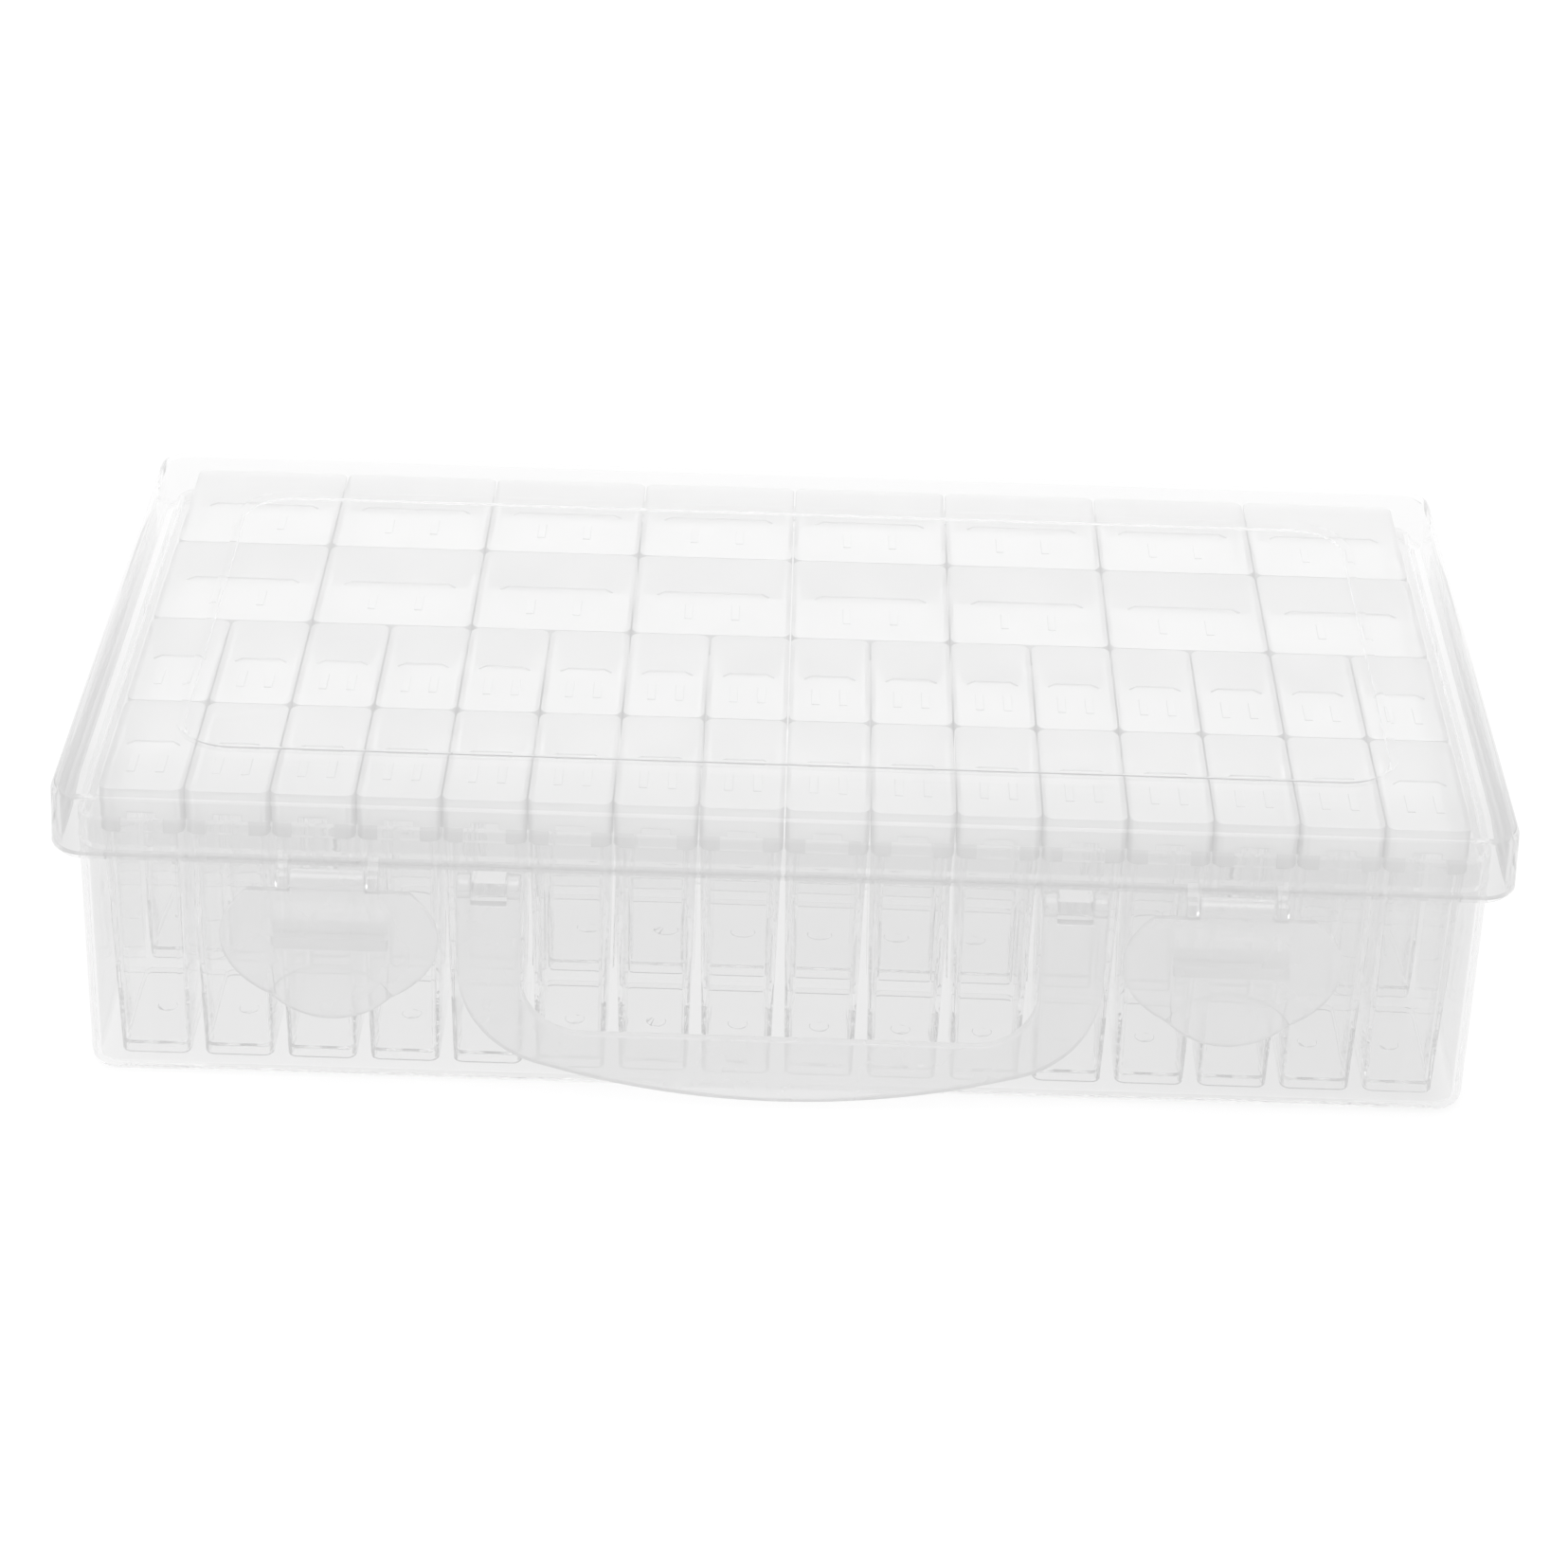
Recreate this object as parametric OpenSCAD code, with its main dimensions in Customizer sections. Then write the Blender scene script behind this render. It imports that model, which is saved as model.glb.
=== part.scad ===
// Clear storage box for beads and thread bits: rows of flip-top jars in a hinged,
// latched case with a carrying handle. Millimetres. +Z is up and the front faces -Y.
// The origin is the centre of the underside of the base.

/* [Jars] */
// Number of small jars across each of the two front rows
small_columns = 16; // [4:2:16]
// Distance from one small jar to the next; a large jar takes two
jar_pitch = 20; // [16:0.5:26]
// Distance from one row to the next, front to back
row_pitch = 43.6; // [36:0.2:52]
// Gap between the caps of two neighbours
jar_gap = 0.4; // [0.2:0.1:1]
// Height of a jar with its cap closed
jar_h = 74.3; // [60:0.5:95]
// How far each side wall draws in from top to bottom
side_taper = 1.5; // [0:0.1:2.5]
// How far the front and rear walls draw in from top to bottom
face_taper = 3.2; // [0:0.1:5]
// Wall of a jar
jar_wall = 1.1; // [0.8:0.1:1.6]
// Corner radius of a jar, seen from above
jar_corner = 2.4; // [1.6:0.1:4]
// Height of the hollow foot under a jar's floor
foot_h = 1.9; // [0.8:0.1:4]
// Thickness of a jar's floor
jar_floor = 1; // [0.6:0.1:2]

/* [Jar caps] */
// Height of a cap, from its lower edge to its top
cap_h = 11; // [8:0.5:16]
// Thickness of a cap's top
cap_top = 1.2; // [1:0.1:2]
// Thickness of a cap's skirt
cap_wall = 0.9; // [0.7:0.1:1.4]
// Clearance between a cap and the neck of its jar
cap_clearance = 0.15; // [0.1:0.05:0.3]
// Width of the sunk panel that thins the living hinge, front to back
hinge_panel_d = 4; // [2:0.2:8]
// Distance from the end of that panel to the side of a small cap
small_panel_inset = 3.3; // [2:0.1:5]
// Distance from the end of that panel to the side of a large cap
large_panel_inset = 5.3; // [3:0.1:10]
// Depth of the hinge panel
hinge_panel_depth = 0.5; // [0.2:0.1:0.7]
// Width of the slit beside the living hinge
hinge_slit = 0.6; // [0.4:0.1:1]
// Width of a snap pad on the flap
pad_w = 1.9; // [1:0.1:3]
// Length of a snap pad
pad_d = 8; // [4:0.5:10]
// How far a snap pad stands up
pad_h = 0.3; // [0.2:0.05:0.5]
// Distance from the middle of a small cap to the middle of a snap pad
small_pad_x = 3.4; // [2:0.1:5]
// Distance from the middle of a large cap to the middle of a snap pad
large_pad_x = 5.9; // [2:0.1:12]
// Distance from a cap's front edge to the middle of its snap pads
pad_back = 12.1; // [8:0.1:14]
// Width of the thumb notch in the flap's front edge
notch_w = 10; // [6:0.5:12]
// Width of the taller middle step of that notch
notch_mid_w = 6.8; // [4:0.2:8]
// Height of the notch beside its middle step
notch_h = 3.6; // [2:0.2:5]
// Height of the middle step of the notch
notch_mid_h = 5.2; // [3:0.2:7]

/* [Base] */
// Wall of the base
wall = 2; // [1.4:0.1:3]
// Floor of the base
floor_t = 2; // [1.4:0.1:3]
// Room between the outermost jars and the side walls
side_play = 3.5; // [1:0.5:6]
// Room between the outer rows and the front and rear walls
end_play = 0.8; // [0.4:0.1:3]
// Corner radius of the base, seen from above
base_corner = 7.5; // [5:0.5:14]
// Radius of the lower edge of the base
foot_edge = 3; // [1:0.5:4]
// Gap under a jar and under the lid's edge
seat_gap = 0.1; // [0.05:0.05:0.3]
// How far the wall rises inside the lid
rim_overlap = 6.4; // [3:0.2:9]
// Thickness of the flange that the lid's edge sits on
flange_t = 1.5; // [1:0.1:2.5]

/* [Lid] */
// Thickness of the lid
lid_t = 1.8; // [1.2:0.1:2.6]
// Room between the jar caps and the lid
headroom = 0.8; // [0.6:0.1:4]
// Depth of the lid's skirt
skirt_h = 15.4; // [12:0.2:22]
// How far the skirt stands out from the wall of the base
overhang = 5.1; // [4.5:0.1:8]
// How much wider the skirt is at its lower edge
skirt_draft = 0.5; // [0:0.1:1]
// Corner radius of the lid, seen from above
lid_corner = 8; // [6:0.5:14]
// Radius of the lid's upper edge
lid_edge = 1.8; // [1:0.2:3]
// Distance from the lid's side to the raised panel
panel_inset = 24.9; // [18:0.5:40]
// Corner radius of the raised panel
panel_corner = 14.6; // [8:0.2:24]
// How far the panel is raised
panel_rise = 1; // [0.6:0.1:2]

/* [Rear hinges] */
// Distance from the middle to the centre of each hinge
hinge_x = 100; // [60:1:130]
// Radius of a hinge pin
pin_r = 1.5; // [1.2:0.1:2]
// Clearance round a hinge pin
pin_clearance = 0.06; // [0.04:0.01:0.1]
// Length of the lid's knuckle
knuckle_w = 15.4; // [8:0.2:24]
// Radius of the lid's knuckle
knuckle_r = 2.8; // [2.6:0.1:3.4]
// Width of each ear on the base
ear_w = 4; // [3:0.2:8]
// How far an ear stands out round its pin
ear_rim = 0.9; // [0.6:0.1:1.2]
// Height of an ear's root on the rear wall, below the flange
ear_foot_h = 7; // [4:0.5:14]
// Gap between an ear and what turns beside it
side_gap = 0.3; // [0.2:0.05:0.6]

/* [Latches] */
// Distance from the middle to the centre of each latch
latch_x = 105.5; // [90:0.5:125]
// Width of a latch
latch_w = 51.2; // [40:0.4:56]
// Height of a latch's oval, were it not cut off at its hinge
latch_oval_h = 37.6; // [30:0.4:40]
// Distance from a latch's axis down to the middle of its oval
latch_drop = 15.5; // [12:0.5:18]
// Thickness of a latch
latch_t = 2; // [1.4:0.1:3]
// How far a latch's axis hangs below the skirt
latch_axis_drop = 2.6; // [2:0.1:4]
// How far the plate of a latch sits in front of its axis
latch_set_forward = 0.5; // [0:0.1:1]
// Width of the finger lobe
lobe_w = 29.4; // [20:0.2:36]
// How far the finger lobe reaches below its two corners
lobe_low = 6.6; // [4:0.2:9]
// How far the finger lobe reaches above its two corners
lobe_high = 8.4; // [5:0.2:12]
// Depth of the finger scoop at its top
scoop_depth = 1; // [0.5:0.1:1.2]
// Length of a latch's knuckle
latch_knuckle_w = 17.4; // [12:0.2:24]
// Radius of a latch's knuckle
latch_knuckle_r = 2.5; // [2.2:0.1:3]
// Radius of a latch's pin
latch_pin_r = 1.2; // [1:0.1:1.6]
// Width of each of the lid's ears that hold a latch
latch_ear_w = 3; // [2:0.2:5]
// How high the root of such an ear reaches up the skirt
latch_ear_root_h = 3.4; // [2:0.1:6]
// Height of the strip that joins a latch's knuckle to its plate, below the knuckle
latch_neck_h = 1; // [0.5:0.1:2]
// Width of the catch on the base and of the hook behind it
catch_w = 27; // [16:1:32]
// Height of the catch
catch_h = 5; // [3:0.2:8]
// Slope on the catch's upper edge
catch_slope = 1.6; // [0.5:0.1:2]
// Distance from a latch's axis down to the underside of the catch
catch_drop = 16; // [12:0.5:20]
// How far hook and catch overlap, front to back
catch_bite = 2.5; // [1:0.1:3]
// Height of the hook
hook_h = 3.2; // [2:0.2:5]

/* [Carrying handle] */
// Width over the handle
handle_w = 151.6; // [120:0.4:154]
// Width of each arm
arm_w = 14.9; // [13:0.1:20]
// Thickness of the handle
handle_t = 2.6; // [2:0.1:4]
// Height of the grip at its middle
grip_h = 17.1; // [12:0.1:24]
// Gap between the hanging handle and the floor
handle_ground_gap = 2.6; // [1:0.1:10]
// Distance from the front wall to the handle's front face
handle_standoff = 7.7; // [7:0.1:9]
// Radius of the grip's bowed lower edge
bow_r = 192; // [150:1:300]
// Radius of the handle's outer corners
handle_outer_r = 26; // [16:0.5:30]
// Radius of the handle's inner corners
handle_inner_r = 14.7; // [8:0.1:18]
// Radius of the round top of each arm
arm_top_r = 3; // [2.6:0.1:3.6]
// Radius of the handle's pins
handle_pin_r = 1.3; // [1:0.1:1.6]
// Width of each of the two ears at the top of an arm
arm_ear_w = 3.2; // [2.4:0.1:4]
// How far the base's lug stands out round the handle's pin
lug_rim = 1.1; // [0.8:0.1:1.4]
// Height of the web that carries that lug
lug_web_h = 4.4; // [3:0.2:5]
// Room below the lug in the pocket between the two ears
pocket_room = 1.4; // [1:0.1:3]
// Room between the handle's round top and the flange above it
handle_headroom = 0.6; // [0.3:0.1:2]

/* [Hidden] */
$fn = 64;
ROWS = ["front", "second", "third", "back"];
last_row = len(ROWS) - 1;
row_columns = [small_columns, small_columns, small_columns / 2, small_columns / 2];
function is_small(row) = row_columns[row] == small_columns;
function two_digits(i) = str(i < 10 ? "0" : "", i);
function caps_name(row) = str(ROWS[row], "_jar_caps");
function jar_name(row, column) = str(ROWS[row], "_jar_", two_digits(column + 1));
jar_names = [for (row = [0:last_row]) for (column = [0:row_columns[row] - 1]) jar_name(row, column)];

clear_plastic = [0.90, 0.92, 0.93];
milky_plastic = [0.86, 0.88, 0.89];
// Overlap that makes two bodies of one piece a single solid
weld = 0.5;
// Overshoot of a cut past the surface it opens
over = 1;
// Thickness of the thin slices that a hull spans
slice = 0.01;
// How far a round corner passes the curve it runs into, so that the two cross and never just touch
crossing = 0.05;

// Plan of the case
half_in_w = small_columns * jar_pitch / 2 + side_play;
half_in_d = len(ROWS) * row_pitch / 2 + end_play;
half_base_w = half_in_w + wall;
half_base_d = half_in_d + wall;
half_lid_w = half_base_w + overhang;
half_lid_d = half_base_d + overhang;
// How far the flange's edge lies inside the skirt's
flange_inset = 0.6;

// Heights of the case
jar_z = floor_t + seat_gap;
jar_top = jar_z + jar_h;
lid_under = jar_top + headroom;
lid_shoulder = lid_under + lid_t;
skirt_z = lid_shoulder - skirt_h;
flange_top = skirt_z - seat_gap;
flange_z = flange_top - flange_t;
base_h = skirt_z + rim_overlap;

// Rear hinge: its axis stands behind the skirt, a little above the skirt's lower edge
skirt_face_gap = 0.35;
ear_r = pin_r + ear_rim;
hinge_y = half_lid_d + skirt_draft + skirt_face_gap + ear_r;
hinge_z = skirt_z + knuckle_r + seat_gap;

// Latch hinge: its axis hangs in front of the skirt's lower edge
latch_ear_r = latch_knuckle_r;
latch_y = -(half_lid_d + skirt_draft + side_gap + latch_knuckle_r);
latch_z = skirt_z - latch_axis_drop;
latch_back_y = latch_y + latch_t / 2 - latch_set_forward;
latch_top_cut = latch_ear_r + side_gap;
// From the back of a latch to the face of the catch behind it
catch_face_gap = 1.7;
catch_y = latch_back_y + catch_face_gap;
catch_z = latch_z - catch_drop;
// From the hook up to the catch
hook_gap = 0.3;

// Handle hinge: its axis lies under the flange, behind the round top of the arms
handle_z = flange_z - handle_headroom - arm_top_r;
handle_front_y = -(half_base_d + handle_standoff);
handle_y = handle_front_y + arm_top_r;
handle_bottom = handle_ground_gap;
handle_lug_r = handle_pin_r + lug_rim;

function jar_w(row) = jar_pitch * small_columns / row_columns[row] - jar_gap;
function jar_x(row, column) =
    (column - (row_columns[row] - 1) / 2) * jar_pitch * small_columns / row_columns[row];
function row_y(row) = (row - (len(ROWS) - 1) / 2) * row_pitch;
jar_d = row_pitch - jar_gap;

// General shapes

// Flat rectangle with round corners, centred
module round_rect(w, d, r) {
    square([w - 2 * r, d], center = true);
    square([w, d - 2 * r], center = true);
    for (x = [-1, 1], y = [-1, 1]) {
        translate([x * (w / 2 - r), y * (d / 2 - r)]) circle(r);
    }
}

module round_slab(w, d, h, r) {
    linear_extrude(h) round_rect(w, d, r);
}

// Block whose lower edge is rounded
module soft_bottom_block(w, d, h, r, edge) {
    hull() {
        for (x = [-1, 1], y = [-1, 1]) {
            translate([x * (w / 2 - r), y * (d / 2 - r), 0]) {
                translate([0, 0, edge]) cylinder(r = r, h = h - edge, $fn = 32);
                translate([0, 0, edge]) rotate_extrude($fn = 32) {
                    translate([r - edge, 0]) circle(edge, $fn = 16);
                }
            }
        }
    }
}

// Tapered rectangular body with round corners, from z0 to z1
module tapered_body(w0, d0, z0, w1, d1, z1, r, facets) {
    hull() {
        for (x = [-1, 1], y = [-1, 1]) {
            translate([x * (w0 / 2 - r), y * (d0 / 2 - r), z0]) cylinder(r = r, h = slice, $fn = facets);
            translate([x * (w1 / 2 - r), y * (d1 / 2 - r), z1 - slice]) {
                cylinder(r = r, h = slice, $fn = facets);
            }
        }
    }
}

// Cylinder along X, centred on the middle of its length
module rod(r, length) {
    rotate([0, 90, 0]) cylinder(r = r, h = length, center = true);
}

// Profile drawn in Y and Z, given a width along X and centred on it
module side_profile(width) {
    rotate([90, 0, 90]) translate([0, 0, -width / 2]) linear_extrude(width) children();
}

// Jars

function taper_at(z) = 1 - z / jar_h;

// Cup of a jar: tapered walls, a floor on a hollow foot, and a neck under the cap
module jar_cup(w) {
    shoulder = jar_h - cap_h - seat_gap;
    neck_w = w - 2 * (cap_wall + cap_clearance);
    neck_d = jar_d - 2 * (cap_wall + cap_clearance);
    neck_top = jar_h - cap_top - seat_gap;
    foot_w = w - 2 * side_taper;
    foot_d = jar_d - 2 * face_taper;
    floor_z = foot_h + jar_floor;
    inner_r = jar_corner - jar_wall;
    difference() {
        union() {
            tapered_body(foot_w, foot_d, 0,
                         w - 2 * side_taper * taper_at(shoulder),
                         jar_d - 2 * face_taper * taper_at(shoulder), shoulder, jar_corner, 16);
            translate([0, 0, shoulder - weld]) {
                round_slab(neck_w, neck_d, neck_top - shoulder + weld, jar_corner - cap_wall);
            }
        }
        tapered_body(foot_w - 2 * (jar_wall - side_taper * floor_z / jar_h),
                     foot_d - 2 * (jar_wall - face_taper * floor_z / jar_h), floor_z,
                     neck_w - 2 * jar_wall, neck_d - 2 * jar_wall, neck_top + over, inner_r, 12);
        translate([0, 0, -over]) {
            round_slab(foot_w - 2 * jar_wall, foot_d - 2 * jar_wall, foot_h + over, inner_r);
        }
    }
    gate_r = 2.2;
    gate_h = 0.5;
    translate([0, 0, foot_h - gate_h]) cylinder(r = gate_r, h = gate_h + jar_floor / 2);
}

// Sunk panel over the living hinge, with pointed ends
module hinge_panel(length) {
    half = length / 2;
    point = hinge_panel_d / 2;
    linear_extrude(hinge_panel_depth + over) {
        polygon([[-half, 0], [-half + point, -point], [half - point, -point],
                 [half, 0], [half - point, point], [-half + point, point]]);
    }
}

// Cap of a jar: a fixed rear half and a flap in front of a living hinge
module jar_cap(w, inset, pad_x) {
    cap_z = jar_h - cap_h;
    difference() {
        translate([0, 0, cap_z]) round_slab(w, jar_d, cap_h, jar_corner);
        translate([0, 0, cap_z - over]) {
            round_slab(w - 2 * cap_wall, jar_d - 2 * cap_wall, cap_h - cap_top + over,
                       jar_corner - cap_wall);
        }
        translate([0, 0, jar_h - hinge_panel_depth]) {
            hinge_panel(w - 2 * inset);
        }
        translate([-w / 2 - over, -hinge_slit / 2, cap_z - over]) {
            cube([w + 2 * over, hinge_slit, cap_h - cap_top + over]);
        }
        for (step = [[notch_w, notch_h], [notch_mid_w, notch_mid_h]]) {
            translate([-step[0] / 2, -jar_d / 2 - over, cap_z - over]) {
                cube([step[0], cap_wall + 2 * over, step[1] + over]);
            }
        }
    }
    pad_y = -jar_d / 2 + pad_back;
    for (side = [-1, 1]) {
        translate([side * pad_x - pad_w / 2, pad_y - pad_d / 2, jar_h - cap_top / 2]) {
            cube([pad_w, pad_d, cap_top / 2 + pad_h]);
        }
    }
}

module place_jar(row, column) {
    translate([jar_x(row, column), row_y(row), jar_z]) children();
}

module jar(row, column) {
    color(clear_plastic) place_jar(row, column) jar_cup(jar_w(row));
}

module jar_caps(row) {
    inset = is_small(row) ? small_panel_inset : large_panel_inset;
    pad_x = is_small(row) ? small_pad_x : large_pad_x;
    color(milky_plastic) {
        for (column = [0:row_columns[row] - 1]) place_jar(row, column) jar_cap(jar_w(row), inset, pad_x);
    }
}

// Base

// One rear hinge on the base: two ears on a root that grows out of the wall, and the pin
module base_hinge() {
    root_y = half_base_d - wall / 2;
    inner_y = half_lid_d + skirt_draft + skirt_face_gap;
    outer_y = hinge_y + ear_r;
    for (side = [-1, 1]) {
        translate([side * (knuckle_w / 2 + side_gap + ear_w / 2), 0, 0]) {
            side_profile(ear_w) {
                translate([hinge_y, hinge_z]) circle(ear_r);
                polygon([[root_y, flange_z - ear_foot_h], [root_y, flange_top], [inner_y, flange_top],
                         [inner_y, hinge_z], [outer_y, hinge_z], [outer_y, flange_z]]);
            }
        }
    }
    translate([0, hinge_y, hinge_z]) rod(pin_r, knuckle_w + 2 * side_gap + ear_w);
}

// One catch on the front wall, with a sloped top that the hook rides down
module latch_catch() {
    root_y = -half_base_d + wall / 2;
    side_profile(catch_w) {
        polygon([[root_y, catch_z], [catch_y, catch_z], [catch_y, catch_z + catch_h - catch_slope],
                 [catch_y + catch_slope, catch_z + catch_h], [root_y, catch_z + catch_h]]);
    }
}

// One lug under the flange that carries an arm of the handle on a pin
module handle_lug() {
    lug_w = arm_w - 2 * arm_ear_w - 2 * side_gap;
    root_y = -half_base_d + wall / 2;
    side_profile(lug_w) {
        translate([handle_y, handle_z]) circle(handle_lug_r);
        translate([handle_y, handle_z - lug_web_h / 2]) square([root_y - handle_y, lug_web_h]);
    }
    translate([0, handle_y, handle_z]) rod(handle_pin_r, arm_w - 2 * side_gap);
}

module base_box() {
    color(clear_plastic) {
        difference() {
            union() {
                soft_bottom_block(2 * half_base_w, 2 * half_base_d, base_h, base_corner, foot_edge);
                translate([0, 0, flange_z]) {
                    round_slab(2 * (half_lid_w - flange_inset), 2 * (half_lid_d - flange_inset), flange_t,
                               lid_corner);
                }
                for (side = [-1, 1]) translate([side * hinge_x, 0, 0]) base_hinge();
                for (side = [-1, 1]) translate([side * latch_x, 0, 0]) latch_catch();
                for (side = [-1, 1]) {
                    translate([side * (handle_w - arm_w) / 2, 0, 0]) handle_lug();
                }
            }
            translate([0, 0, floor_t]) {
                soft_bottom_block(2 * half_in_w, 2 * half_in_d, base_h, base_corner - wall, foot_edge - wall);
            }
        }
    }
}

// Lid

// Outer form of the lid: round upper edge, round corners and a slight draft
module lid_shell() {
    hull() {
        for (x = [-1, 1], y = [-1, 1]) {
            translate([x * (half_lid_w - lid_corner), y * (half_lid_d - lid_corner), 0]) {
                translate([0, 0, skirt_z]) cylinder(r = lid_corner + skirt_draft, h = slice, $fn = 32);
                translate([0, 0, lid_shoulder - lid_edge]) rotate_extrude($fn = 32) {
                    translate([lid_corner - lid_edge, 0]) circle(lid_edge, $fn = 24);
                }
            }
        }
    }
}

// One knuckle of a rear hinge, on a web that grows out of the skirt
module lid_knuckle() {
    root_y = half_lid_d - lid_t / 2;
    difference() {
        side_profile(knuckle_w) {
            translate([hinge_y, hinge_z]) circle(knuckle_r);
            translate([root_y, hinge_z - knuckle_r]) square([hinge_y - root_y, 2 * knuckle_r]);
        }
        translate([0, hinge_y, hinge_z]) rod(pin_r + pin_clearance, knuckle_w + 2 * over);
    }
}

// Two ears and a pin in front of the skirt, which carry a latch
module latch_ears() {
    root_y = -half_lid_d + lid_t / 2;
    face_y = -half_lid_d - skirt_draft;
    root_top = skirt_z + latch_ear_root_h;
    for (side = [-1, 1]) {
        translate([side * (latch_knuckle_w / 2 + side_gap + latch_ear_w / 2), 0, 0]) {
            side_profile(latch_ear_w) {
                translate([latch_y, latch_z]) circle(latch_ear_r);
                polygon([[root_y, root_top], [root_y, skirt_z + seat_gap], [face_y, skirt_z + seat_gap],
                         [face_y, latch_z], [latch_y - latch_ear_r, latch_z]]);
            }
        }
    }
    translate([0, latch_y, latch_z]) rod(latch_pin_r, latch_knuckle_w + 2 * side_gap + latch_ear_w);
}

module lid() {
    panel_w = 2 * (half_lid_w - panel_inset);
    panel_d = 2 * (half_lid_d - panel_inset);
    color(clear_plastic) {
        difference() {
            union() {
                lid_shell();
                translate([0, 0, lid_shoulder - weld]) {
                    round_slab(panel_w, panel_d, panel_rise + weld, panel_corner);
                }
            }
            translate([0, 0, skirt_z - over]) {
                round_slab(2 * (half_lid_w - lid_t), 2 * (half_lid_d - lid_t), lid_under - skirt_z + over,
                           lid_corner - lid_t);
            }
            translate([0, 0, lid_under - weld]) {
                round_slab(panel_w - 2 * lid_t, panel_d - 2 * lid_t, panel_rise + weld,
                           panel_corner - lid_t);
            }
        }
        for (side = [-1, 1]) translate([side * hinge_x, 0, 0]) lid_knuckle();
        for (side = [-1, 1]) translate([side * latch_x, 0, 0]) latch_ears();
    }
}

// Latches

// Points of an ellipse, whose curve follows the two half axes
function ellipse(a, b, steps) =
    [for (i = [0:steps - 1]) [a * cos(i * 360 / steps), b * sin(i * 360 / steps)]];

// Height of the finger lobe's two corners on the oval
lobe_z = -latch_oval_h / 2 * sqrt(1 - pow(lobe_w / latch_w, 2));
// Radius of an arc over the lobe's width that rises by that much
function arc_r(rise) = (pow(lobe_w / 2, 2) + rise * rise) / (2 * rise);

// Lens between a lower and an upper arc, which is the finger lobe
module lobe_outline(low, high) {
    intersection() {
        translate([0, lobe_z - low + arc_r(low)]) circle(arc_r(low));
        translate([0, lobe_z + high - arc_r(high)]) circle(arc_r(high));
    }
}

// Front view of a latch, whose middle is the middle of its oval
module latch_outline() {
    difference() {
        polygon(ellipse(latch_w / 2, latch_oval_h / 2, 64));
        translate([-latch_w, latch_drop - latch_top_cut]) square([2 * latch_w, latch_oval_h]);
    }
    lobe_outline(lobe_low, lobe_high);
}

module latch() {
    back = latch_back_y;
    mid_z = latch_z - latch_drop;
    color(milky_plastic) {
        difference() {
            union() {
                translate([0, back, mid_z]) rotate([90, 0, 0]) linear_extrude(latch_t) latch_outline();
                translate([0, latch_y, latch_z]) rod(latch_knuckle_r, latch_knuckle_w);
                side_profile(latch_knuckle_w) {
                    translate([back - latch_t, latch_z - latch_knuckle_r - latch_neck_h]) {
                        square([latch_t, latch_knuckle_r + latch_neck_h]);
                    }
                }
                side_profile(catch_w) {
                    hook_y = catch_y + catch_bite;
                    hook_top = catch_z - hook_gap;
                    polygon([[back - weld, hook_top], [hook_y, hook_top], [hook_y, hook_top - hook_h / 2],
                             [back - weld, hook_top - hook_h]]);
                }
            }
            translate([0, latch_y, latch_z]) {
                rod(latch_pin_r + pin_clearance, latch_knuckle_w + 2 * over);
            }
            finger_scoop(mid_z, back - latch_t);
        }
    }
}

// Slanted cut into the front of the lobe, deepest along its upper arc
module finger_scoop(mid_z, front_y) {
    rise = lobe_low + lobe_high;
    slant = atan(scoop_depth / rise);
    intersection() {
        translate([0, front_y + latch_t, mid_z]) rotate([90, 0, 0]) {
            linear_extrude(2 * latch_t) lobe_outline(lobe_low + over, lobe_high);
        }
        translate([0, front_y, mid_z + lobe_z - lobe_low]) rotate([-slant, 0, 0]) {
            translate([-lobe_w, -2 * latch_t, -2 * over]) cube([2 * lobe_w, 2 * latch_t, rise + 4 * over]);
        }
    }
}

module left_latch() {
    translate([-latch_x, 0, 0]) latch();
}

module right_latch() {
    translate([latch_x, 0, 0]) latch();
}

// Handle

// Outer edge of the handle: straight arms, round corners and a bowed grip
module handle_outer() {
    bow_z = handle_bottom + bow_r;
    corner_x = handle_w / 2 - handle_outer_r;
    corner_z = bow_z - sqrt(pow(bow_r - handle_outer_r + crossing, 2) - corner_x * corner_x);
    touch_x = corner_x * bow_r / (bow_r - handle_outer_r);
    translate([-handle_w / 2, corner_z]) square([handle_w, handle_z - corner_z]);
    intersection() {
        translate([0, bow_z]) circle(bow_r, $fn = 200);
        translate([-touch_x, 0]) square([2 * touch_x, corner_z + over]);
    }
    for (side = [-1, 1]) translate([side * corner_x, corner_z]) circle(handle_outer_r);
}

// Opening of the handle, open at the top
module handle_inner() {
    half = handle_w / 2 - arm_w;
    z = handle_bottom + grip_h;
    r = handle_inner_r;
    translate([-half + r, z]) square([2 * (half - r), handle_z]);
    translate([-half, z + r]) square([2 * half, handle_z]);
    for (side = [-1, 1]) translate([side * (half - r), z + r]) circle(r);
}

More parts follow.
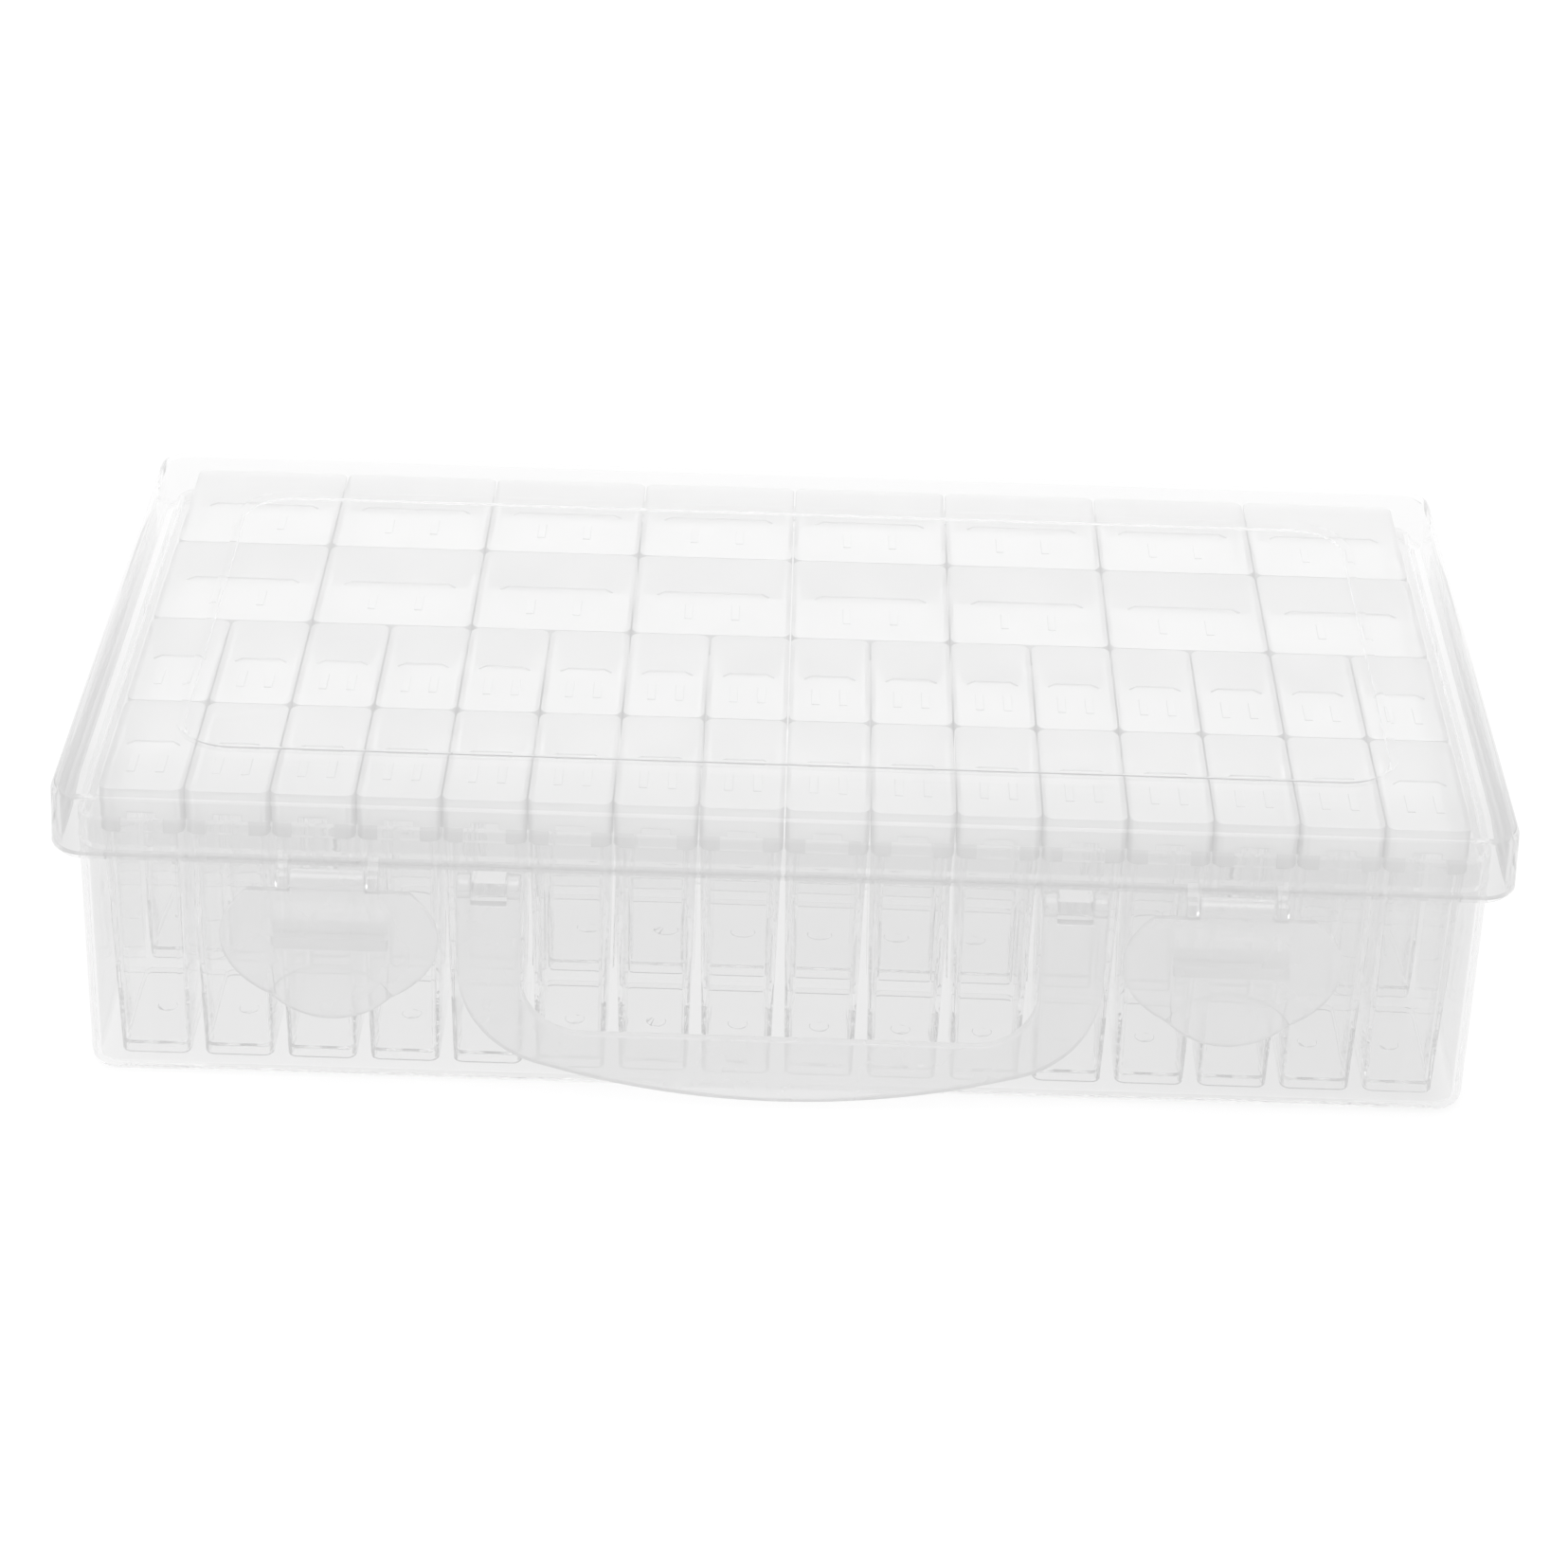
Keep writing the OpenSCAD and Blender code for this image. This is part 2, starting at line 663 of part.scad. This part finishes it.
module carry_handle() {
    ear_x = (arm_w - arm_ear_w) / 2;
    pocket_w = arm_w - 2 * arm_ear_w;
    pocket_z = handle_z - handle_lug_r - pocket_room;
    color(milky_plastic) {
        difference() {
            union() {
                translate([0, handle_front_y + handle_t, 0]) rotate([90, 0, 0]) linear_extrude(handle_t) {
                    difference() {
                        handle_outer();
                        handle_inner();
                    }
                }
                for (side = [-1, 1], ear = [-1, 1]) {
                    translate([side * (handle_w - arm_w) / 2 + ear * ear_x, handle_y, handle_z]) {
                        rod(arm_top_r, arm_ear_w);
                    }
                }
            }
            for (side = [-1, 1]) {
                translate([side * (handle_w - arm_w) / 2, 0, 0]) {
                    translate([0, handle_y, handle_z]) rod(handle_pin_r + pin_clearance, arm_w + 2 * over);
                    translate([-pocket_w / 2, handle_front_y - over, pocket_z]) {
                        cube([pocket_w, 2 * arm_top_r + 2 * over, 2 * arm_top_r + 4 * over]);
                    }
                }
            }
        }
    }
}

base_box();
lid();
left_latch();
right_latch();
carry_handle();
for (row = [0:last_row]) {
    jar_caps(row);
}
for (row = [0:last_row]) {
    for (column = [0:row_columns[row] - 1]) {
        jar(row, column);
    }
}
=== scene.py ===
# %% [markdown]
# # A clear storage box with flip-top jars
# The object is an injection-moulded case of clear plastic. Forty-eight clear jars with milky
# flip-top caps stand inside it in four rows. Two oval latches hold the lid, and a bowed
# handle hangs on the front.
#
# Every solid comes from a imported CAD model. We load that model first and never move it. What
# we add is the finish: how the plastic passes light, where it is milky, and how its edges
# show in a white room.

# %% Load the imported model
import math

import bpy
from mathutils import Matrix, Vector

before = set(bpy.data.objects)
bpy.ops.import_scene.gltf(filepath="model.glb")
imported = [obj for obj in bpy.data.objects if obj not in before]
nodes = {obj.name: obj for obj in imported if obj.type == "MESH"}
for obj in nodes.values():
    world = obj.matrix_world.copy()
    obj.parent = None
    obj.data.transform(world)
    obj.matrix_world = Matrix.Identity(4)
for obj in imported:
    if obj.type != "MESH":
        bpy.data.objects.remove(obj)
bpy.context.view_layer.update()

# %% [markdown]
# ## The camera
# A product photograph like this one is taken from about a metre away with a long lens, looking
# down at some 29 degrees. The lens, the place and the small roll to one side come from fitting
# the box's real edges to the picture. A matrix is the safest way to set such a camera: its
# three columns are the camera's right, its up, and the direction behind it.

# %% Camera
PHOTO_SIDE_PX = 1655
FOCAL_PX = 4395.13
SENSOR_MM = 36
CAMERA_PLACE = Vector((-0.000446, -0.92723, 0.55596))
CAMERA_PITCH = -0.512
CAMERA_ROLL = 0.032

forward = Vector((0, math.cos(CAMERA_PITCH), math.sin(CAMERA_PITCH)))
level_right = Vector((1, 0, 0))
level_up = level_right.cross(forward)
right = math.cos(CAMERA_ROLL) * level_right + math.sin(CAMERA_ROLL) * level_up
up = math.cos(CAMERA_ROLL) * level_up - math.sin(CAMERA_ROLL) * level_right
turn = Matrix((right, up, -forward)).transposed().to_4x4()

lens = bpy.data.cameras.new("studio_lens")
lens.sensor_width = SENSOR_MM
lens.lens = FOCAL_PX / PHOTO_SIDE_PX * SENSOR_MM
camera = bpy.data.objects.new("studio_camera", lens)
bpy.context.scene.collection.objects.link(camera)
camera.matrix_world = Matrix.Translation(CAMERA_PLACE) @ turn
bpy.context.scene.camera = camera
print("lens in mm:", round(lens.lens, 2))

# %% [markdown]
# ## Nodes in code
# Every finish below is a small tree of nodes. The same few steps come back all the time: add a
# node and fill its sockets, start a material with an empty tree, do one sum, and stretch one
# range of numbers over another. A helper for each keeps the trees readable.

# %% Helpers for node trees
def add_node(tree, kind, sockets=None, **settings):
    """A new node of that kind; sockets maps a socket's name or number to a value or an output."""
    made = tree.nodes.new(kind)
    for name, value in settings.items():
        setattr(made, name, value)
    for key, value in (sockets or {}).items():
        if isinstance(value, bpy.types.NodeSocket):
            tree.links.new(value, made.inputs[key])
        else:
            made.inputs[key].default_value = value
    return made


def start_material(name):
    """A new material with an empty tree, and that tree."""
    material = bpy.data.materials.new(name)
    material.use_nodes = True
    material.node_tree.nodes.clear()
    return material, material.node_tree


def calculate(tree, operation, first, second=0.0):
    """The output of one Math node."""
    return add_node(tree, "ShaderNodeMath", {0: first, 1: second}, operation=operation).outputs[0]


def rescale(tree, value, from_low, from_high, to_low, to_high):
    """The output of a Map Range node, held within its two new limits."""
    sockets = {"Value": value, "From Min": from_low, "From Max": from_high,
               "To Min": to_low, "To Max": to_high}
    return add_node(tree, "ShaderNodeMapRange", sockets, interpolation_type="SMOOTHSTEP").outputs[0]


def grey(tone):
    """A grey colour of that tone, where 0 is black and 1 is white."""
    return (tone, tone, tone, 1)


print("helpers: add_node, start_material, calculate, rescale, grey")

# %% [markdown]
# ## The room
# Clear plastic shows what is round it, so the room makes most of the look. This one is white
# almost everywhere. The wall behind the camera is a little darker, so that the faces towards us
# stand out, and one bright softbox overhead draws thin white lines along the edges.
#
# Lamps would be the usual way to make this light. But each wall that a line of sight passes
# would then ask every lamp for a shadow, and here it passes dozens. So the room is painted on
# the world instead, as a function of direction.

# %% The world, as a function of direction
AIR_LIGHT = 1.0
WALL_LIGHT = 0.8
WALL_FULL_AT_Y = -0.75
WALL_ENDS_AT_Y = -0.25
WALL_STARTS_AT_Z = 0.02
WALL_FULL_AT_Z = 0.2
SOFTBOX_LIGHT = 4.5
SOFTBOX_TOWARDS = (0.0, -0.45, 0.893)
SOFTBOX_RIM_COSINE = 0.91
SOFTBOX_FULL_COSINE = 0.95

world = bpy.data.worlds.new("white_studio")
bpy.context.scene.world = world
world.use_nodes = True
world.cycles.sampling_method = "NONE"
sky = world.node_tree
sky.nodes.clear()
direction = add_node(sky, "ShaderNodeTexCoord").outputs["Generated"]
axes = add_node(sky, "ShaderNodeSeparateXYZ", {0: direction})
behind_camera = rescale(sky, axes.outputs["Y"], WALL_FULL_AT_Y, WALL_ENDS_AT_Y, 1, 0)
above_floor = rescale(sky, axes.outputs["Z"], WALL_STARTS_AT_Z, WALL_FULL_AT_Z, 0, 1)
wall_share = calculate(sky, "MULTIPLY", behind_camera, above_floor)
room_light = rescale(sky, wall_share, 0, 1, AIR_LIGHT, WALL_LIGHT)
nearness = add_node(sky, "ShaderNodeVectorMath", {0: direction, 1: SOFTBOX_TOWARDS}, operation="DOT_PRODUCT")
overhead = rescale(sky, nearness.outputs["Value"], SOFTBOX_RIM_COSINE, SOFTBOX_FULL_COSINE, 0, 1)
added_light = calculate(sky, "MULTIPLY", overhead, SOFTBOX_LIGHT)
total_light = calculate(sky, "ADD", room_light, added_light)
backdrop = add_node(sky, "ShaderNodeBackground", {"Color": grey(1), "Strength": total_light})
add_node(sky, "ShaderNodeOutputWorld", {"Surface": backdrop.outputs[0]})
print("lights: air", AIR_LIGHT, "wall", WALL_LIGHT, "softbox", SOFTBOX_LIGHT)

# %% [markdown]
# ## The light table
# Clear things are shot on a light table: a white sheet that glows from below. Without it, the
# box would shade the very floor that one sees through it, and look like smoked glass.

# %% The sheet of the table
FLOOR_HALF = 6.0
FLOOR_BELOW = 0.0004

floor_mesh = bpy.data.meshes.new("floor")
corners = [(x * FLOOR_HALF, y * FLOOR_HALF, -FLOOR_BELOW) for x, y in ((-1, -1), (1, -1), (1, 1), (-1, 1))]
floor_mesh.from_pydata(corners, [], [(0, 1, 2, 3)])
floor = bpy.data.objects.new("floor", floor_mesh)
bpy.context.scene.collection.objects.link(floor)
print("floor side in m:", 2 * FLOOR_HALF)

# %% [markdown]
# ## The glow of the sheet
# A sheet that glows by itself takes no shadow, yet a real box still darkens the spot it stands
# on, here more so to the right. That faint shade is painted on the glow by place, with blurred
# borders. A little grey paper under the glow keeps the sheet from looking like a screen.

# %% The finish of the sheet
TABLE_GLOW = 0.93
SHADE_LOSS = 0.06
SHADE_LOSS_RIGHT = 0.2
SHADE_HALF_X = 0.163
SHADE_HALF_Y = 0.088
SHADE_BLUR = 0.008
PAPER_SPOTS = {"Scale": 6.0, "Detail": 3.0}
PAPER_DARK = 0.100
PAPER_LIGHT = 0.104


def under(tree, distance, half):
    """1 up to half of the box from its middle and 0 beyond, with a blurred border."""
    from_middle = calculate(tree, "ABSOLUTE", distance)
    return rescale(tree, from_middle, half - SHADE_BLUR, half + SHADE_BLUR, 1, 0)


floor_paper, tree = start_material("light_table")
floor_paper.cycles.emission_sampling = "NONE"
spot = add_node(tree, "ShaderNodeTexCoord").outputs["Object"]
across = add_node(tree, "ShaderNodeSeparateXYZ", {0: spot})
under_x = under(tree, across.outputs["X"], SHADE_HALF_X)
under_y = under(tree, across.outputs["Y"], SHADE_HALF_Y)
under_box = calculate(tree, "MULTIPLY", under_x, under_y)
loss = rescale(tree, across.outputs["X"], 0.0, SHADE_HALF_X, SHADE_LOSS, SHADE_LOSS_RIGHT)
sheet_glow = calculate(tree, "SUBTRACT", TABLE_GLOW, calculate(tree, "MULTIPLY", under_box, loss))
spots = add_node(tree, "ShaderNodeTexNoise", {"Vector": spot, **PAPER_SPOTS})
paper_colour = add_node(tree, "ShaderNodeValToRGB", {"Fac": spots.outputs[0]})
paper_colour.color_ramp.elements[0].color = grey(PAPER_DARK)
paper_colour.color_ramp.elements[1].color = grey(PAPER_LIGHT)
paper = add_node(tree, "ShaderNodeBsdfDiffuse", {"Color": paper_colour.outputs[0]})
glow = add_node(tree, "ShaderNodeEmission", {"Strength": sheet_glow})
table = add_node(tree, "ShaderNodeAddShader", {0: paper.outputs[0], 1: glow.outputs[0]})
add_node(tree, "ShaderNodeOutputMaterial", {"Surface": table.outputs[0]})
floor_mesh.materials.append(floor_paper)
print("glow of the sheet:", TABLE_GLOW, "lost under the box:", SHADE_LOSS, "to", SHADE_LOSS_RIGHT)

# %% [markdown]
# ## How many walls light may pass
# A line of sight crosses the lid, a cap, and then wall after wall of the jars behind. The
# renderer stops after a few see-through surfaces unless it is told to go on, and what it stops
# at turns black. So the limit is far above the number of walls in the box.
#
# The picture is shown without a film curve, because white must stay white. A white room also
# floods the lens with light, and that veil lifts every dark line to a pale grey. A black level
# below zero does the same here.

# %% Light paths and view
MOST_WALLS = 160
MOST_SCATTERINGS = 6
VEIL = 0.5

paths = bpy.context.scene.cycles
paths.transparent_max_bounces = MOST_WALLS
paths.max_bounces = MOST_WALLS
paths.transmission_bounces = MOST_WALLS
paths.glossy_bounces = MOST_WALLS
paths.diffuse_bounces = MOST_SCATTERINGS
view = bpy.context.scene.view_settings
view.view_transform = "Standard"
view.look = "None"
view.use_curve_mapping = True
view.curve_mapping.black_level = (-VEIL / (1 - VEIL),) * 3
view.curve_mapping.update()
print("see-through surfaces on one path:", paths.transparent_max_bounces, "veil:", VEIL)

# %% [markdown]
# ## Joined faces
# The CAD mesh arrives with each face cut loose from the next, and with fixed normals. A small
# geometry tree joins the faces, drops those normals, and shades two faces as one where they
# meet at a small angle. The same could be done by hand in Edit Mode, but a modifier leaves the
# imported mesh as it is.

# %% Joining and shading tree
SMOOTH_UNDER = math.radians(14)
JOIN_DISTANCE = 2e-6

joiner = bpy.data.node_groups.new("join_and_shade", "GeometryNodeTree")
joiner.interface.new_socket("Geometry", in_out="INPUT", socket_type="NodeSocketGeometry")
joiner.interface.new_socket("Geometry", in_out="OUTPUT", socket_type="NodeSocketGeometry")
loose = add_node(joiner, "NodeGroupInput").outputs[0]
bare = add_node(joiner, "GeometryNodeRemoveAttribute", {"Geometry": loose, "Name": "custom_normal"})
joined = add_node(joiner, "GeometryNodeMergeByDistance",
                  {"Geometry": bare.outputs[0], "Distance": JOIN_DISTANCE})
all_smooth = add_node(joiner, "GeometryNodeSetShadeSmooth",
                      {"Geometry": joined.outputs[0], "Shade Smooth": True})
bend = add_node(joiner, "GeometryNodeInputMeshEdgeAngle").outputs["Unsigned Angle"]
is_round = add_node(joiner, "FunctionNodeCompare", {0: bend, 1: SMOOTH_UNDER}, operation="LESS_THAN")
shaded = add_node(joiner, "GeometryNodeSetShadeSmooth",
                  {"Geometry": all_smooth.outputs[0], "Shade Smooth": is_round.outputs[0]}, domain="EDGE")
add_node(joiner, "NodeGroupOutput", {0: shaded.outputs[0]})
print("faces that meet under", round(math.degrees(SMOOTH_UNDER)), "degrees are shaded as one")

# %% [markdown]
# ## Soft edges
# No moulded edge is truly sharp: the steel mould rounds it a little, and that rounding is what
# catches the light. A bevel a fraction of a millimetre wide turns every sharp edge into a thin
# strip, and the tree above runs once more to shade the strips. The bevel's own safeguard
# against overlaps is off: a few very short edges would make it shrink the width to nothing on
# the whole piece.

# %% Soften one piece
BEVEL_OVER = math.radians(32)
BEVEL_STEPS = 2


def soften(piece, width):
    """Joins a CAD piece's faces and rounds its sharp edges by that width."""
    join = piece.modifiers.new("join", "NODES")
    join.node_group = joiner
    bevel = piece.modifiers.new("soft_edges", "BEVEL")
    bevel.width = width
    bevel.segments = BEVEL_STEPS
    bevel.limit_method = "ANGLE"
    bevel.angle_limit = BEVEL_OVER
    bevel.use_clamp_overlap = False
    shade = piece.modifiers.new("shade", "NODES")
    shade.node_group = joiner


print("edges over", round(math.degrees(BEVEL_OVER)), "degrees are softened")

# %% [markdown]
# ## Clouds and scuffs
# Moulded plastic is never quite even. It is a touch milkier in some places, and handling leaves
# fine scuffs that dull its polish. Two noises in the piece's own space do for both. They need
# no unwrapping, and they travel with a lid or a latch that moves.

# %% Two noises for the plastic
CLOUDS = {"Scale": 38.0, "Detail": 5.0}
CLOUDS_FROM = 0.3
CLOUDS_TO = 0.7
SCUFFS = {"Scale": 420.0, "Detail": 6.0, "Roughness": 0.7}
SCUFFS_FROM = 0.35
SCUFFS_TO = 0.7


def cloudy(tree, place, least, most):
    """How much of the light passes straight through, between least and most."""
    clouds = add_node(tree, "ShaderNodeTexNoise", {"Vector": place, **CLOUDS})
    return rescale(tree, clouds.outputs[0], CLOUDS_FROM, CLOUDS_TO, most, least)


def scuffed(tree, place, least, most):
    """The roughness of the surface, between least and most."""
    scuffs = add_node(tree, "ShaderNodeTexNoise", {"Vector": place, **SCUFFS})
    return rescale(tree, scuffs.outputs[0], SCUFFS_FROM, SCUFFS_TO, least, most)


print("noise scales: clouds", CLOUDS["Scale"], "scuffs", SCUFFS["Scale"])

# %% [markdown]
# ## Flat faces and upright faces
# The flat sheets of the box look almost white from above, and its upright walls look pale grey.
# Plastic greys the light on its way through, and that way is long in a wall seen along its
# length. The rest of the walls' grey is painted shade, for the darker parts of the room that
# upright faces mirror. A volume that swallows light would be true to nature, but light that is
# trapped in a flat sheet then draws wide dark bands. So the grey is put on the faces, by the way
# they lie.

# %% Tone by the way a face lies
UPRIGHT_UNDER = 0.2
FLAT_OVER = 0.9
TOP_FROM = 0.0784
TOP_TO = 0.0787


def mix_colours(tree, share, first, second):
    """The first colour where share is 0, the second where it is 1."""
    sockets = {"Factor": share, "A": first, "B": second}
    return add_node(tree, "ShaderNodeMix", sockets, data_type="RGBA").outputs["Result"]


def tone_by_face(tree, normal, where, flat_tone, upright_tone):
    """A grey: flat_tone on flat faces and the lid's top; upright_tone, partly painted shade, on walls."""
    facing = add_node(tree, "ShaderNodeSeparateXYZ", {0: normal})
    upwards = calculate(tree, "ABSOLUTE", facing.outputs["Z"])
    level_face = rescale(tree, upwards, UPRIGHT_UNDER, FLAT_OVER, 0, 1)
    on_top = rescale(tree, where.outputs["Z"], TOP_FROM, TOP_TO, 0, 1)
    lying = calculate(tree, "MAXIMUM", level_face, on_top)
    return mix_colours(tree, lying, grey(upright_tone), grey(flat_tone))


print("the lid's top starts in mm at:", 1000 * TOP_FROM)

# %% [markdown]
# ## Shaded rims and fine outlines
# The lid greys towards its two sides, most of all near the front, and along its front edge. A
# darker room would grey the jars as well, so this is painted shade, put into the lid's colour
# by place. Where a line of sight only grazes a surface, it meets a lot of plastic, and each
# rounded edge gets a fine outline. The Facing output of a Layer Weight node finds those spots
# from any side.

# %% Share of shade
SIDE_FROM = 0.150
SIDE_TO = 0.174
REAR_FROM = -0.07
REAR_TO = 0.095
FRONT_FROM = -0.085
FRONT_TO = -0.06
OUTLINE_FROM = 0.8
OUTLINE_TO = 1.0


def share_of_shade(tree, where, edge_loss, side_shade, front_shade):
    """How much colour is lost: painted shade by place on the lid, and an outline at grazing edges."""
    from_middle = calculate(tree, "ABSOLUTE", where.outputs["X"])
    # Painted shade: darker towards the lid's sides, most near the front, and along its front edge.
    near_side = rescale(tree, from_middle, SIDE_FROM, SIDE_TO, 0, side_shade)
    to_front = rescale(tree, where.outputs["Y"], REAR_FROM, REAR_TO, 1, 0)
    near_front = rescale(tree, where.outputs["Y"], FRONT_FROM, FRONT_TO, front_shade, 0)
    rim_shade = calculate(tree, "ADD", calculate(tree, "MULTIPLY", near_side, to_front), near_front)
    grazing = add_node(tree, "ShaderNodeLayerWeight").outputs["Facing"]
    outline = rescale(tree, grazing, OUTLINE_FROM, OUTLINE_TO, 0, edge_loss)
    return calculate(tree, "ADD", rim_shade, outline)


print("the lid's sides are shaded from", 1000 * SIDE_FROM, "mm outwards")

# %% [markdown]
# ## Clear and milky plastic
# How strongly plastic bends light is the number to handle with care here. With the true index
# of 1.5, four rows of jars behind each other turn into a tangle of bent lines. A lower index
# keeps each wall in its place and still draws a fine line along every edge.
#
# A thin coat brings back the gloss that the lower index takes away. It lies on the outer side
# alone. Light that runs inside a sheet meets that surface many times, and a coat there would
# take a share each time, until whole sheets turn black.

# %% Builder of see-through plastic
COAT_ROUGHNESS = 0.05


def see_through_plastic(name, flat_tone, upright_tone, clear_share, roughness, index, coat, edge_loss,
                        side_shade=0.0, front_shade=0.0):
    """Plastic that light passes; clear_share and roughness are each (least, most)."""
    material, tree = start_material(name)
    place = add_node(tree, "ShaderNodeTexCoord").outputs
    where = add_node(tree, "ShaderNodeSeparateXYZ", {0: place["Object"]})
    tone = tone_by_face(tree, place["Normal"], where, flat_tone, upright_tone)
    lost = share_of_shade(tree, where, edge_loss, side_shade, front_shade)
    from_inside = add_node(tree, "ShaderNodeNewGeometry").outputs["Backfacing"]
    body = add_node(tree, "ShaderNodeBsdfPrincipled", {
        "Base Color": mix_colours(tree, lost, tone, grey(0)),
        "Roughness": scuffed(tree, place["Object"], *roughness),
        "IOR": index,
        "Transmission Weight": cloudy(tree, place["Object"], *clear_share),
        "Coat Weight": rescale(tree, from_inside, 0, 1, coat, 0),
        "Coat Roughness": COAT_ROUGHNESS,
    })
    add_node(tree, "ShaderNodeOutputMaterial", {"Surface": body.outputs[0]})
    return material


print("see_through_plastic() is ready")

# %% [markdown]
# ## The five finishes
# The pieces are kin, but they don't look alike. The base is the clearest: its flat faces lose
# next to nothing, so that the light in them stays bright, and only its walls are grey. The lid
# is a little milkier, glossier, and has painted shade towards its rims. The jars are thin and
# clear. The caps scatter half of the light, which hides the jar below but lets the lines of its
# rim through. The latches and the handle are thicker, milky and a tone darker.

# %% The finishes
clear_base = see_through_plastic("clear_base", flat_tone=0.995, upright_tone=0.80,
                                 clear_share=(0.997, 0.999), roughness=(0.0, 0.01), index=1.09, coat=0.1,
                                 edge_loss=0.6)
clear_lid = see_through_plastic("clear_lid", flat_tone=0.953, upright_tone=0.93,
                                clear_share=(0.985, 0.992), roughness=(0.0, 0.01), index=1.12, coat=0.6,
                                edge_loss=0.1, side_shade=0.36, front_shade=0.1)
clear_jar = see_through_plastic("clear_jar", flat_tone=0.98, upright_tone=0.945,
                                clear_share=(0.996, 0.998), roughness=(0.0, 0.01), index=1.15, coat=0.3,
                                edge_loss=0.12)
milky_cap = see_through_plastic("milky_cap", flat_tone=0.998, upright_tone=0.995,
                                clear_share=(0.50, 0.56), roughness=(0.03, 0.08), index=1.12, coat=0.2,
                                edge_loss=0.08)
milky_fitting = see_through_plastic("milky_fitting", flat_tone=0.70, upright_tone=0.67,
                                    clear_share=(0.68, 0.74), roughness=(0.02, 0.05), index=1.3, coat=0.4,
                                    edge_loss=0.5)
print("finishes:", [m.name for m in (clear_base, clear_lid, clear_jar, milky_cap, milky_fitting)])

# %% [markdown]
# ## Dressing the imported solids
# The shapes are right as imported, so each one stays and only takes a finish and soft edges.
# The name of a node says which finish it gets. The edges of the thin caps and jars are softened
# less than those of the base, the lid and the fittings.

# %% Dress every node
BASE_EDGE = 0.0004
LID_EDGE = 0.00035
FITTING_EDGE = 0.0004
CAP_EDGE = 0.00015
JAR_EDGE = 0.00025


def finish_of(name):
    """The finish and the width of the soft edges, in metres, for a node of that name."""
    if name == "base_box":
        return clear_base, BASE_EDGE
    if name == "lid":
        return clear_lid, LID_EDGE
    if name in ("left_latch", "right_latch", "carry_handle"):
        return milky_fitting, FITTING_EDGE
    if name.endswith("_caps"):
        return milky_cap, CAP_EDGE
    return clear_jar, JAR_EDGE


for name, piece in nodes.items():
    finish, edge_width = finish_of(name)
    piece.data.materials.clear()
    piece.data.materials.append(finish)
    soften(piece, edge_width)
print("dressed:", len(nodes))
